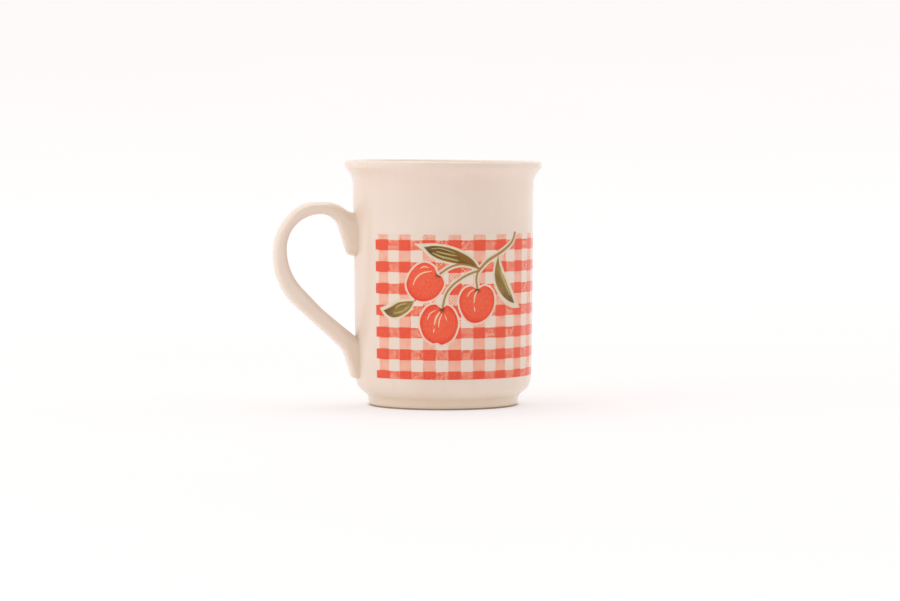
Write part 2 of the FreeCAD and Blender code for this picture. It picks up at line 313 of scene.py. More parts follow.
CREAM = srgb(234, 215, 200)
CREAM_WARM = srgb(229, 204, 178)
CREAM_PALE = srgb(238, 221, 207)
# The pooled glaze's tone; on the foot it is also the colour of painted shade.
POOLED_AND_SHADED = srgb(212, 184, 134)
BISCUIT = srgb(186, 152, 124)
BISCUIT_DEEP = srgb(168, 136, 110)
BISCUIT_WORN = srgb(150, 126, 106)
GROUND = srgb(238, 219, 204)
GROUND_SHADE = srgb(233, 214, 196)
CROSSING = srgb(226, 54, 24)
CROSSING_PALE = srgb(242, 106, 74)
CHECK_DEEP = srgb(235, 76, 42)
CHECK_MID = srgb(238, 84, 38)
CHECK_BLUSH = srgb(240, 210, 186)
CHECK_PALE = srgb(248, 202, 172)
FRUIT = srgb(238, 70, 32)
FRUIT_DEEP = srgb(224, 44, 20)
FRUIT_PALE = srgb(242, 116, 82)
FRUIT_HALO = srgb(238, 208, 188)
FRUIT_HALO_SHADE = srgb(236, 202, 180)
HIGHLIGHT = srgb(248, 214, 186)
HIGHLIGHT_PINK = srgb(244, 186, 152)
DIMPLE = srgb(92, 44, 20)
LEAF = srgb(132, 92, 8)
LEAF_GOLD = srgb(162, 130, 60)
LEAF_DARK = srgb(82, 48, 4)
LEAF_EDGE = srgb(170, 124, 56)
LEAF_TIP = srgb(108, 74, 46)
LEAF_HALO = srgb(230, 216, 194)
LEAF_HALO_SHADE = srgb(214, 202, 168)
VEIN = srgb(192, 178, 112)
VEIN_DEEP = srgb(168, 150, 84)
STEM = srgb(184, 136, 68)
STEM_PALE = srgb(194, 148, 82)
STEM_EDGE = srgb(142, 90, 30)
STEM_EDGE_PALE = srgb(154, 104, 44)
TABLE = (0.475, 0.46, 0.46, 1.0)
TABLE_PALE = (0.485, 0.47, 0.47, 1.0)
TABLE_LIGHT = (1.0, 0.975, 0.97, 1.0)
SKY_LIGHT = (1.0, 0.99, 0.985, 1.0)

# A pattern's scale is its fineness, per metre on the clay and per millimetre on the flat print.
# A bump's depth is in metres. A span of a noise, such as 0.3 to 0.7, is the middle of its range.
WEAVE_SLANTS = (math.pi / 4, -math.pi / 4)
WEAVE_PITCH = 0.84
GHOST_PITCH = 0.8
# The wave texture's scale that makes one wave in each unit of its vector.
ONE_WAVE = math.pi / 10


def glaze_material():
    """A glossy glaze over cream clay: soft drifts of tone, a faint orange peel, and warmer pools; on the foot
    the same pooled tone is painted shade.
    """
    n = Nodes("cream_glaze", Roughness=0.16, IOR=1.5, Subsurface_Weight=0.12, Subsurface_Scale=0.004)
    n.shader.inputs["Subsurface Radius"].default_value = (1.0, 0.6, 0.4)
    n.shader.inputs["Coat Weight"].default_value = 0.15
    n.shader.inputs["Coat Roughness"].default_value = 0.06
    place = n.place()
    drift = n.span(n.noise(place, 28, 2.0), 0.35, 0.65)
    colour = n.mix(drift, CREAM, CREAM_PALE)
    streaks = n.noise(n.stretch(place, (260, 260, 14)), 1.0, 2.0)
    colour = n.mix(n.span(streaks, 0.45, 0.8, 0.0, 0.18), colour, CREAM_WARM)
    specks = n.span(n.noise(place, 1500, 1.0), 0.76, 0.80)
    colour = n.mix(n.math("MULTIPLY", specks, 0.35), colour, POOLED_AND_SHADED)
    # The painted pool value mixes in the pooled tone: pooled glaze, and painted shade in the foot's crease
    # and down the foot.
    colour = n.mix(n.painted("pool_and_shade"), colour, POOLED_AND_SHADED)
    peel = n.noise(place, 240, 2.0)
    swell = n.noise(place, 40, 1.0)
    normal = n.bump(swell, 0.10, 0.0012)
    normal = n.bump(peel, 0.05, 0.0002, normal)
    rough = n.span(n.noise(place, 90, 3.0), 0.3, 0.7, 0.12, 0.21)
    return n.finish(colour, rough, normal)


def biscuit_material():
    """Bare fired clay on the foot: matt and finely gritty, greyed where it has stood."""
    n = Nodes("bare_biscuit", Roughness=0.85, IOR=1.45)
    place = n.place()
    grain = n.noise(place, 1800, 4.0, 0.65)
    wear = n.span(n.noise(place, 160, 3.0), 0.4, 0.7)
    colour = n.mix(n.span(grain, 0.35, 0.65, 0.0, 0.5), BISCUIT, BISCUIT_DEEP)
    colour = n.mix(n.math("MULTIPLY", wear, 0.4), colour, BISCUIT_WORN)
    return n.finish(colour, n.span(grain, 0.3, 0.7, 0.75, 0.95), n.bump(grain, 0.5, 0.0001))


def ink_base(name):
    """Fired transfer ink: as glossy as the glaze that it sank into."""
    n = Nodes(name, Roughness=0.2, IOR=1.5)
    n.shader.inputs["Specular IOR Level"].default_value = 0.38
    return n


def weave_material(name, pale, deep, cover, streaks):
    """A woven check's ink: a fine slanting lattice that covers about the given share of its pale ground.
    The cover wanders in streaks, given as how fine they are round the wall and up it."""
    n = ink_base(name)
    flat = n.flat("wall")
    fine = (1 / WEAVE_PITCH, 1 / WEAVE_PITCH, 1)
    rising, falling = (n.waves(n.stretch(flat, fine, slant), ONE_WAVE, 0.5) for slant in WEAVE_SLANTS)
    threads = n.math("MULTIPLY", rising, falling)
    drift = n.span(n.noise(n.stretch(flat, (*streaks, 1)), 1.0, 4.0, 0.6), 0.3, 0.7, -0.28, 0.28)
    edge = (1 - cover) ** 2
    inked = n.span(n.math("ADD", threads, drift), edge - 0.15, edge + 0.15)
    colour = n.mix(inked, pale, deep)
    grain = n.noise(flat, 6.0, 2.0)
    return n.finish(colour, n.span(grain, 0.3, 0.7, 0.16, 0.26), n.bump(inked, 0.12, 0.00004))


def solid_material():
    """Where warp and weft cross the ink is solid, with a little mottle."""
    n = ink_base("check_crossing")
    flat = n.flat("wall")
    mottle = n.noise(flat, 1.6, 4.0, 0.6)
    colour = n.mix(n.span(mottle, 0.32, 0.7), CROSSING, CROSSING_PALE)
    return n.finish(colour, n.span(mottle, 0.3, 0.7, 0.16, 0.26), n.bump(mottle, 0.08, 0.00004))


def ground_material(name, colour, shade):
    """The pale flux that the print lies on, with the ghost of a weave."""
    n = ink_base(name)
    flat = n.flat("wall")
    threads = n.waves(n.stretch(flat, (1 / GHOST_PITCH, 1 / GHOST_PITCH, 1), math.pi / 2), ONE_WAVE, 0.5)
    drift = n.noise(flat, 0.7, 3.0)
    tone = n.mix(n.span(drift, 0.35, 0.65, 0.0, 0.5), colour, shade)
    tone = n.mix(n.math("MULTIPLY", threads, 0.25), tone, shade)
    return n.finish(tone, n.span(drift, 0.3, 0.7, 0.16, 0.24), n.bump(threads, 0.05, 0.00003))


def fruit_material():
    """Brushed red ink: streaks down from the stalk, a paler belly, a deeper rim and a dark dimple."""
    n = ink_base("fruit_red")
    reach = n.length(n.flat("local"))
    flat = n.flat("wall")
    brushed = n.noise(n.stretch(flat, (2.6, 0.9, 1), 0.3), 1.0, 5.0, 0.65)
    mottle = n.noise(flat, 1.1, 3.0, 0.6)
    colour = n.mix(n.span(brushed, 0.40, 0.72), FRUIT, FRUIT_PALE)
    belly = n.math("MULTIPLY", n.span(reach, 0.2, 0.9, 1.0, 0.0), n.span(mottle, 0.35, 0.6))
    colour = n.mix(n.math("MULTIPLY", belly, 0.35), colour, FRUIT_PALE)
    colour = n.mix(n.span(reach, 0.72, 1.02, 0.0, 0.8), colour, FRUIT_DEEP)
    colour = n.mix(n.span(n.length(n.flat("dimple")), 0.04, 0.20, 0.95, 0.0), colour, DIMPLE)
    return n.finish(colour, n.span(brushed, 0.3, 0.7, 0.16, 0.27), n.bump(brushed, 0.08, 0.00005))


def leaf_material(name, body, dark):
    """Olive ink, brushed along the leaf, darker in its outer half and violet-brown at the tip."""
    n = ink_base(name)
    local = n.flat("local")
    parts = n.node("ShaderNodeSeparateXYZ")
    n.link(local, parts.inputs["Vector"])
    along = parts.outputs["X"]
    flat = n.flat("wall")
    brushed = n.noise(n.stretch(local, (2.0, 16.0, 1)), 1.0, 4.0, 0.6)
    depth = n.math("ADD", n.span(brushed, 0.35, 0.7, -0.4, 0.5), n.span(along, 0.15, 0.75, 0.7, 0.15))
    colour = n.mix(n.span(depth, 0.0, 1.0), body, dark)
    colour = n.mix(n.span(along, 0.0, 0.35, 0.6, 0.0), colour, LEAF_TIP)
    speck = n.span(n.noise(flat, 3.0, 2.0), 0.52, 0.72, 0.0, 0.4)
    colour = n.mix(speck, colour, LEAF_EDGE)
    return n.finish(colour, n.span(brushed, 0.3, 0.7, 0.18, 0.28), n.bump(brushed, 0.1, 0.00005))


def stroke_material(name, first, second):
    """Ink drawn with a fine brush, a little uneven along its stroke."""
    n = ink_base(name)
    flat = n.flat("wall")
    brushed = n.noise(flat, 1.8, 4.0, 0.6)
    colour = n.mix(n.span(brushed, 0.35, 0.65), first, second)
    return n.finish(colour, n.span(brushed, 0.3, 0.7, 0.16, 0.26), n.bump(brushed, 0.08, 0.00004))


# ---- the cup ----------------------------------------------------------------------------------------------

# Radii and heights over the glaze, from the middle of the recess round to the middle of the floor.
BARE_HEIGHT = 0.62
RECESS = [(0.0, 2.75), (24.3, 2.75, 1.1), (25.40, BARE_HEIGHT)]
BARE_FOOT = [
    (25.40, BARE_HEIGHT),
    (25.60, 0.5),
    (26.0, 0.0, 0.35),
    (28.95, 0.0, 0.35),
    (29.14, 0.5),
    (29.30, BARE_HEIGHT),
]
OUTSIDE = [
    (29.30, BARE_HEIGHT),
    (29.80, 3.85, 1.7),
    (34.6, 7.9, 6.4),
    (35.58, 89.4, 7.5),
    (38.68, 93.3, 1.05),
    (38.65, HEIGHT, 1.45),
    (35.72, HEIGHT, 1.3),
    (32.10, 88.8, 9.2),
    (30.75, 7.55, 7.8),
    (0.0, 7.55),
]


# How strongly the pooled tone shows, from 0 to 1: where glaze has gathered, and as painted shade in the
# foot's crease and down the foot.
CREASE_HEIGHT = 3.9
# In the foot's crease the tone is pooled glaze and painted shade.
CREASE_POOL_AND_SHADE = 0.2
# The next two are painted shade: the foot darkens towards the bottom, most of all near where it stands.
FOOT_SHADE = 0.14
BEARING_SHADE = 0.16
FLOOR_POOL = 0.25


def wall_radius(height):
    """The straight wall's radius over the glaze."""
    low_radius, low, _ = OUTSIDE[2]
    high_radius, high, _ = OUTSIDE[3]
    return low_radius + (high_radius - low_radius) * (height - low) / (high - low)


def cup_profile():
    """The profile's points, and for each stretch between two of them whether it is bare clay."""
    runs = [(rounded(RECESS), 0), (rounded(BARE_FOOT, 0.25), 1), (rounded(OUTSIDE, 0.4), 0)]
    points, bare = [], []
    for run, is_bare in runs:
        run = refined(run, 1.6)
        points.extend(run if not points else run[1:])
        bare.extend([is_bare] * (len(run) - 1))
    return points, bare


def pool_and_shade_on_cup(radius, height, outside):
    """How much pooled tone is on the cup: pooled glaze and painted shade in the foot's crease, painted shade
    darkening down the foot, and pooled glaze round the inside floor.
    """
    if outside:
        # Pooled glaze and painted shade in the foot's crease.
        crease = CREASE_POOL_AND_SHADE * math.exp(-(((height - CREASE_HEIGHT) / 0.9) ** 2))
        # Painted shade: darker down the foot and darkest near its bottom.
        foot = FOOT_SHADE * smoothstep(9.0, 3.0, height) + BEARING_SHADE * smoothstep(3.0, 0.5, height)
        return crease + foot
    return FLOOR_POOL * smoothstep(12.0, 7.5, height) * smoothstep(20.0, 27.0, radius)


def make_cup(materials):
    """The cup's skin, turned in one piece from the recess over the foot, wall and lip to the inside floor."""
    points, bare = cup_profile()
    vertices, rings, faces, kinds = turned(points, CUP_FACETS, bare)
    lip = max(range(len(points)), key=lambda i: points[i].y)
    pools = []
    for i, (point, ring) in enumerate(zip(points, rings)):
        # The painted pool value: pooled glaze, and painted shade in the foot's crease and down the foot.
        pools.extend([pool_and_shade_on_cup(point.x, point.y, i < lip)] * len(ring))
    made = make_object("glazed_cup", [uneven(v) for v in vertices], faces, materials, kinds)
    paint(made, "pool_and_shade", pools)
    keep(made, "glaze", "cup_body", "outside_glaze", "lining_glaze", "recess_glaze")


# ---- the handle -------------------------------------------------------------------------------------------

# The handle's side view over the glaze, as radii from the cup's axis and heights, from the upper root to the
# lower one, outside and inside; REACH and HANDLE_HIGH.z are the CAD model's.
STRAP_TOP = HANDLE_HIGH.z
STRAP_OUTSIDE = [
    (33.0, 74.6),
    (37.3, 75.0, 8.0),
    (43.1, STRAP_TOP, 12.2),
    (56.8, STRAP_TOP, 13.2),
    (REACH, 67.4, 20.2),
    (REACH, 47.2, 26.2),
    (39.9, 22.4, 11.0),
    (36.6, 11.5, 1.7),
    (33.0, 10.7),
]
STRAP_INSIDE = [
    (33.0, 58.4),
    (38.3, 59.9, 2.2),
    (42.9, 75.35, 8.2),
    (62.4, 75.35, 13.4),
    (62.4, 52.8, 22.0),
    (48.5, 38.1, 40.0),
    (33.0, 25.2),
]
# Which place outside goes with which inside, from root to root.
STRAP_PAIRS = [
    ((33.0, 74.6), (33.0, 58.4)),
    ((35.4, 74.8), (35.4, 59.1)),
    ((38.0, 75.6), (38.6, 61.2)),
    ((41.2, 78.0), (40.7, 67.8)),
    ((45.2, 79.5), (43.6, 73.2)),
    ((50.5, STRAP_TOP), (49.2, 75.3)),
    ((56.0, 78.9), (54.2, 74.7)),
    ((61.3, 75.0), (58.3, 71.9)),
    ((65.4, 68.8), (61.2, 66.8)),
    ((REACH, 60.6), (62.4, 60.8)),
    ((66.0, 53.4), (61.5, 55.2)),
    ((62.6, 45.8), (58.6, 49.1)),
    ((56.0, 38.0), (52.5, 42.3)),
    ((47.5, 29.8), (44.6, 34.7)),
    ((41.5, 23.6), (39.3, 30.0)),
    ((38.6, 17.8), (37.0, 28.0)),
    ((36.9, 12.4), (35.5, 27.2)),
    ((33.0, 10.7), (33.0, 25.2)),
]
STRAP_SECTIONS = 200
STRAP_SIDES = 56
STRAP_HALF_WIDTH = HANDLE_HIGH.y
STRAP_CROWN = 0.4
JOINT_FILLET = 0.8
STRAP_SMOOTHING = 19
STRAP_POOL = 0.06
NEAR_JOINT_POOL = 0.1
JOINT_POOL = 0.36


def lengths_along(points):
    """The length of a line up to each of its points."""
    total = [0.0]
    for start, end in zip(points, points[1:]):
        total.append(total[-1] + (end - start).length)
    return total


def nearest_length(points, lengths, place):
    """How far along a line its point nearest to a place is."""
    place = Vector(place)
    best = min(range(len(points)), key=lambda i: (points[i] - place).length)
    return lengths[best]


def point_at(points, lengths, length):
    """The place at a length along a line."""
    x = np.interp(length, lengths, [p.x for p in points])
    y = np.interp(length, lengths, [p.y for p in points])
    return Vector((x, y))


def strap_side(outline, which):
    """The outline's point at each section, paired with the other outline's."""
    points = refined(rounded(outline, 0.1), 0.1)
    lengths = lengths_along(points)
    marks = [nearest_length(points, lengths, pair[which]) for pair in STRAP_PAIRS]
    marks[0], marks[-1] = 0.0, lengths[-1]
    steps = np.linspace(0, len(marks) - 1, STRAP_SECTIONS)
    at = np.interp(steps, range(len(marks)), marks)
    window = np.hanning(STRAP_SMOOTHING)
    reach = STRAP_SMOOTHING // 2
    padded = np.concatenate([2 * at[0] - at[reach:0:-1], at, 2 * at[-1] - at[-2:-2 - reach:-1]])
    at = np.convolve(padded, window / window.sum(), "valid")
    return [point_at(points, lengths, length) for length in at]


def strap_section(thickness, upper_root, lower_root):
    """A strap's section as (across, outwards) points, outwards from the middle of its thickness.
    Its outer face is crowned and its edges are round; towards a root they grow rounder."""
    half = STRAP_HALF_WIDTH
    flat = thickness / 2
    crown = STRAP_CROWN + 0.5 * upper_root + 0.2 * lower_root
    corners = [
        (0.0, flat + crown),
        (0.5 * half, flat + 0.7 * crown, 12.0 - 5.0 * upper_root),
        (half - 0.1, flat - 1.4 * STRAP_CROWN - 0.8 * upper_root, 1.5 + 1.9 * upper_root + 0.7 * lower_root),
        (half, 0.0, 6.0),
        (half - 0.1, -flat, 2.0 + 2.4 * upper_root + 1.4 * lower_root),
        (0.0, -flat - 0.1 - 0.4 * upper_root),
    ]
    side = refined(rounded(corners, 0.15), 0.3)
    lengths = lengths_along(side)
    half_count = STRAP_SIDES // 2
    right = [point_at(side, lengths, lengths[-1] * j / half_count) for j in range(half_count + 1)]
    return right + [Vector((-p.x, p.y)) for p in right[-2:0:-1]]


def joint_spread(gap):
    """How far the strap's skin spreads at a gap from the wall, as a round fillet does."""
    near = min(max(gap / JOINT_FILLET, 0.0), 1.0)
    return JOINT_FILLET * (1 - math.sqrt(1 - (1 - near) ** 2))


def strap_ring(out, inner, upper):
    """The strap's section between a place outside and its place inside, laid against the cup.
    Gives the places round it, and how much glaze has pooled at each."""
    middle = (out + inner) / 2
    arm = (out - inner).normalized()
    thickness = (out - inner).length
    to_wall = middle.x - wall_radius(middle.y)
    rooted = smoothstep(7.0, 0.5, to_wall)
    near_root = smoothstep(12.0, 2.0, to_wall)
    places, pools = [], []
    for point in strap_section(thickness, near_root * upper, near_root * (not upper)):
        flat = middle + arm * point.y
        wall = wall_radius(flat.y)
        gap = flat.x - wall
        away = Vector((point.x / STRAP_HALF_WIDTH, 0.5 * point.y / thickness))
        spread = joint_spread(gap)
        across = point.x + spread * away.x
        flat = flat + arm * spread * away.y
        fall = wall - math.sqrt(wall * wall - across * across)
        places.append(uneven((-flat.x + rooted * fall, across, flat.y)))
        near = NEAR_JOINT_POOL * smoothstep(8.0, 1.0, gap)
        pools.append(STRAP_POOL + JOINT_POOL * smoothstep(1.0, 0.1, gap) + near)
    return places, pools


def make_handle(material):
    """The strap, lofted from root to root. Each root spreads into a small fillet and ends inside the wall."""
    vertices, pools, rings = [], [], []
    for i, (out, inner) in enumerate(zip(strap_side(STRAP_OUTSIDE, 0), strap_side(STRAP_INSIDE, 1))):
        ring_places, ring_pools = strap_ring(out, inner, i < STRAP_SECTIONS / 2)
        rings.append(range(len(vertices), len(vertices) + STRAP_SIDES))
        vertices.extend(ring_places)
        pools.extend(ring_pools)
    faces = [tuple(reversed(rings[0])), tuple(rings[-1])]
    for low, high in zip(rings, rings[1:]):
        for j in range(STRAP_SIDES):
            k = (j + 1) % STRAP_SIDES
            faces.append((low[j], low[k], high[k], high[j]))
    made = make_object("glazed_handle", vertices, faces, [material])
    paint(made, "pool_and_shade", pools)
    keep(made, "glaze", "handle", "handle_glaze", "upper_luting_slip", "lower_luting_slip")


# ---- the print --------------------------------------------------------------------------------------------

# The print is laid out flat, in millimetres: along the wall from the front sprig's centre line, and height.
PRINT_RADIUS = wall_radius((CHECK_LOW.z + CHECK_HIGH.z) / 2)
SPRIG_ANGLE = math.radians(-95.8)
SPRIG_STEP = math.pi * PRINT_RADIUS
CHECK_START = -31.1
CHECK_END = CHECK_START + math.radians(287.2) * PRINT_RADIUS
WARP_START = -29.4
WARP_STEP = math.radians(16.1) * PRINT_RADIUS
WARP_WIDTH = 0.504 * WARP_STEP
WARPS = 18
WEFT_TOP = 66.1
WEFT_STEP = 8.45
WEFT_WIDTH = 4.3
WEFT_PINCH = 0.2
WEFTS = 7
CHECK_TOP = CHECK_HIGH.z
CHECK_BOTTOM = CHECK_LOW.z
ABOVE_CHECK = 2.2
HALO = 0.75
LEAF_RIM = 0.36
STEM_CORE = 0.42
INK = 0.05
SAME_POINT = 1e-5

FRUITS = [
    # the outline from its dimple round, the dimple, and the highlights, each a line and its width
    (
        [(-4.2, 53.0), (-5.5, 55.8), (-8.9, 57.4), (-12.4, 56.0), (-15.2, 52.6), (-16.4, 48.2), (-13.8, 43.8),
         (-9.3, 42.4), (-4.6, 44.2), (-1.7, 48.6), (-2.4, 51.8)],
        (-3.7, 52.7),
        [([(-13.7, 48.6), (-12.5, 51.3), (-10.0, 53.3), (-6.2, 54.1)], 0.55),
         ([(-10.8, 55.2), (-9.2, 55.8), (-7.5, 55.4)], 0.4)],
    ),
    (
        [(-2.6, 39.8), (-5.1, 41.3), (-8.6, 39.8), (-11.0, 34.8), (-9.6, 29.2), (-6.2, 26.4), (-4.2, 26.5),
         (-2.2, 25.8), (1.8, 28.2), (3.8, 33.8), (2.4, 38.6), (-0.2, 40.9)],
        (-2.3, 39.3),
        [([(-8.1, 35.4), (-7.0, 37.7), (-4.8, 39.1)], 0.4),
         ([(-5.4, 33.3), (-4.7, 36.0), (-3.2, 38.5)], 0.7),
         ([(-5.7, 30.4), (-5.4, 32.0)], 0.4),
         ([(-3.7, 32.4), (-3.4, 35.2), (-2.4, 37.7)], 0.5),
         ([(-0.5, 35.0), (-1.3, 37.3)], 0.3)],
    ),
    (
        [(11.5, 47.1), (9.2, 48.2), (6.1, 47.0), (4.3, 43.2), (5.0, 38.8), (7.6, 35.0), (11.3, 34.0),
         (15.2, 35.6), (18.2, 39.0), (19.0, 43.0), (17.8, 46.6), (14.6, 48.3)],
        (11.5, 46.6),
        [([(7.3, 44.1), (8.6, 46.0), (10.4, 47.0)], 0.45),
         ([(10.2, 41.7), (10.5, 44.5), (11.6, 46.4)], 0.6),
         ([(10.6, 38.3), (10.2, 40.4)], 0.4)],
    ),
]
LEAVES = [
    # the upper edge from tip to stalk, the lower edge, the pale border's upper and lower edges, and the veins
    (
        [(-9.4, 63.3), (-5.0, 63.9), (0.3, 63.1), (5.6, 61.0), (9.6, 58.4), (12.3, 54.9)],
        [(-9.4, 63.3), (-6.7, 60.5), (-3.0, 58.5), (2.0, 57.2), (7.4, 56.4), (12.3, 54.9)],
        [(-13.2, 64.6), (-9.4, 64.7), (-5.0, 64.8), (0.6, 63.9), (6.2, 61.8), (10.4, 58.9), (13.0, 55.2)],
        [(-13.2, 64.6), (-9.6, 61.9), (-6.5, 59.2), (-2.2, 57.4), (3.4, 56.2), (9.0, 55.2), (13.0, 55.2)],
        [([(-6.0, 61.2), (-3.0, 59.8), (0.4, 58.9), (4.0, 58.0)], 0.85),
         ([(-4.6, 61.7), (-1.0, 60.8), (3.4, 59.9)], 0.6),
         ([(-6.6, 62.7), (-3.4, 62.9), (0.4, 61.9), (2.6, 61.0)], 0.4)],
    ),
    (
        [(29.9, 41.0), (27.3, 45.6), (24.1, 50.9), (21.7, 55.3), (20.7, 60.1)],
        [(29.9, 41.0), (26.4, 42.0), (22.4, 44.8), (19.6, 49.4), (19.2, 54.5), (20.7, 60.1)],
        [(33.6, 39.4), (30.4, 42.5), (27.6, 47.8), (24.0, 53.3), (22.2, 57.2), (21.3, 60.6)],
        [(33.6, 39.4), (29.6, 39.2), (25.5, 40.5), (21.3, 43.9), (18.6, 49.4), (18.4, 54.8), (20.2, 60.6)],
        [([(27.0, 44.2), (24.7, 48.3), (22.4, 52.8), (21.8, 55.4)], 0.95),
         ([(28.4, 43.0), (26.6, 46.3), (25.0, 49.2)], 0.4)],
    ),
    (
        [(-27.1, 38.5), (-23.6, 40.0), (-20.0, 41.8), (-16.4, 42.4), (-13.2, 42.5)],
        [(-27.1, 38.5), (-24.6, 36.6), (-21.6, 36.0), (-18.0, 37.1), (-15.0, 39.4), (-13.2, 42.5)],
        [(-29.1, 39.4), (-24.6, 41.0), (-20.4, 42.9), (-16.4, 43.3), (-12.8, 43.3)],
        [(-29.1, 39.4), (-26.4, 36.5), (-21.8, 35.2), (-17.6, 36.5), (-14.2, 39.2), (-12.8, 43.3)],
        [([(-21.4, 39.4), (-19.4, 40.8), (-16.2, 41.5)], 0.6),
         ([(-22.2, 37.6), (-18.2, 38.5), (-15.2, 40.6)], 0.6)],
    ),
]
LEAF_KINDS = ["leaf", "gold_leaf", "gold_leaf"]
STEMS = [
    ([(29.8, 68.8), (28.2, 65.4), (24.6, 62.6), (20.4, 60.3), (16.0, 58.0), (13.2, 55.4), (11.8, 53.9)], 1.0),
    ([(12.2, 55.0), (8.6, 56.2), (4.8, 56.7), (0.8, 55.7), (-3.3, 53.0)], 0.72),
    ([(12.2, 54.2), (8.4, 53.0), (5.0, 51.2), (1.4, 48.3), (-0.9, 45.0), (-2.2, 40.0)], 0.76),
    ([(11.9, 54.4), (11.1, 51.2), (11.5, 47.1)], 0.76),
    ([(-13.0, 42.5), (-12.5, 43.6)], 0.7),
]


def ribbon(line, width, tapered):
    """A brush stroke along a line, as a closed outline; a tapered one thins towards both ends."""
    points = curve(line, 6)
    last = len(points) - 1
    left, right = [], []
    for i, point in enumerate(points):
        along = (points[min(i + 1, last)] - points[max(i - 1, 0)]).normalized()
        share = math.sin(math.pi * (0.08 + 0.84 * i / last)) ** 0.6 if tapered else 1.0
        side = Vector((-along.y, along.x)) * (width / 2 * share)
        left.append(point + side)
        right.append(point - side)
    return left + right[::-1]


def grown(outline, by):
    """A closed outline moved outwards."""
    count = len(outline)
    area = sum(outline[i].cross(outline[(i + 1) % count]) for i in range(count))
    side = -1 if area > 0 else 1
    result = []
    for i, point in enumerate(outline):
        along = (outline[(i + 1) % count] - outline[i - 1]).normalized()
        result.append(point + Vector((-along.y, along.x)) * (side * by))
    return result


class Shape:
    """A closed outline on the flat print, with its kind of ink and the frame that its ink is shaded in."""

    def __init__(self, kind, outline, local=None, dimple=None):
        self.kind = kind
        self.outline = outline
        self.local = local
        self.dimple = dimple


def sprig_shapes(shift):
    """One sprig's shapes; where two overlap, the earlier one lies on top."""
    def moved(points):
        return [(x + shift, y) for x, y in points]

    def between(upper, lower):
        return curve(moved(upper), 7) + curve(moved(lower), 7)[-2:0:-1]

    ink, halo = [], []
    for outline, dimple, highlights in FRUITS:
        edge = loop(moved(outline), 6)
        centre = sum(edge, Vector((0, 0))) / len(edge)
        scale = Vector((1, 0)) / max((point - centre).length for point in edge)
        for line, width in highlights:
            ink.append(Shape("highlight", ribbon(moved(line), width, True)))
        ink.append(Shape("fruit", edge, (centre, scale), (Vector(moved([dimple])[0]), scale)))
        halo.append(Shape("fruit_halo", grown(edge, HALO)))
    for leaf, (upper, lower, border_upper, border_lower, veins) in zip(LEAF_KINDS, LEAVES):
        edge = between(upper, lower)
        tip, stalk = edge[0], Vector(moved(upper)[-1])
        own_frame = (tip, (stalk - tip) / (stalk - tip).length_squared)
        for line, width in veins:
            ink.append(Shape("vein", ribbon(moved(line), width, True)))
        ink.append(Shape(leaf, grown(edge, -LEAF_RIM), own_frame))
        ink.append(Shape("leaf_rim", edge, own_frame))
        halo.append(Shape("leaf_halo", between(border_upper, border_lower)))
    for line, width in STEMS:
        ink.append(Shape("stem_core", ribbon(moved(line), STEM_CORE * width, False)))
        ink.append(Shape("stem", ribbon(moved(line), width, False)))
        halo.append(Shape("leaf_halo", ribbon(moved(line), width + 2 * HALO, False)))
    return ink + halo


def inside(points, outline):
    """Which of an array of points lie inside a closed outline."""
    x, y = points[:, 0], points[:, 1]
    result = np.zeros(len(points), bool)
    for a, b in zip(outline, outline[1:] + outline[:1]):
        if a.y == b.y:
            continue
        crossing = ((a.y > y) != (b.y > y)) & (x < (b.x - a.x) * (y - a.y) / (b.y - a.y) + a.x)
        result ^= crossing
    return result


def check_lines():
    """The check's own lines: its border, the edges of its warps and wefts, and some more round the wall."""
    columns = {CHECK_START, CHECK_END}
    for i in range(WARPS):
        start = WARP_START + i * WARP_STEP
        gap = WARP_STEP - WARP_WIDTH
        columns.update(start + WARP_WIDTH * j / 3 for j in range(4))
        columns.update(start + WARP_WIDTH + gap * j / 3 for j in (1, 2))
    rows = {CHECK_BOTTOM, CHECK_TOP}
    for i in range(WEFTS):
        top = WEFT_TOP - i * WEFT_STEP
        bottom = max(top - WEFT_WIDTH, CHECK_BOTTOM)
        rows.update((top, top - WEFT_PINCH, min(bottom + WEFT_PINCH, top - WEFT_PINCH), bottom))
    return sorted(c for c in columns if c <= CHECK_END), sorted(rows)


def triangulated(shapes):
    """The flat print's points and triangles, cut along the check's lines and every outline."""
    points, edges = [], []

    def add_line(line, closed):
        first = len(points)
        points.extend(Vector(p) for p in line)
        edges.extend((first + i, first + i + 1) for i in range(len(line) - 1))
        if closed:
            edges.append((len(points) - 1, first))

    columns, rows = check_lines()
    for x in columns:
        add_line([(x, CHECK_BOTTOM), (x, CHECK_TOP + ABOVE_CHECK)], False)
    for y in rows:
        add_line([(CHECK_START, y), (CHECK_END, y)], False)
    for shape in shapes:
        add_line(shape.outline, True)
    found, _, triangles, *_ = delaunay_2d_cdt(points, edges, [], 0, SAME_POINT)
    places = np.array([[p.x, p.y] for p in found])
    return places, np.array([t for t in triangles if len(t) == 3])


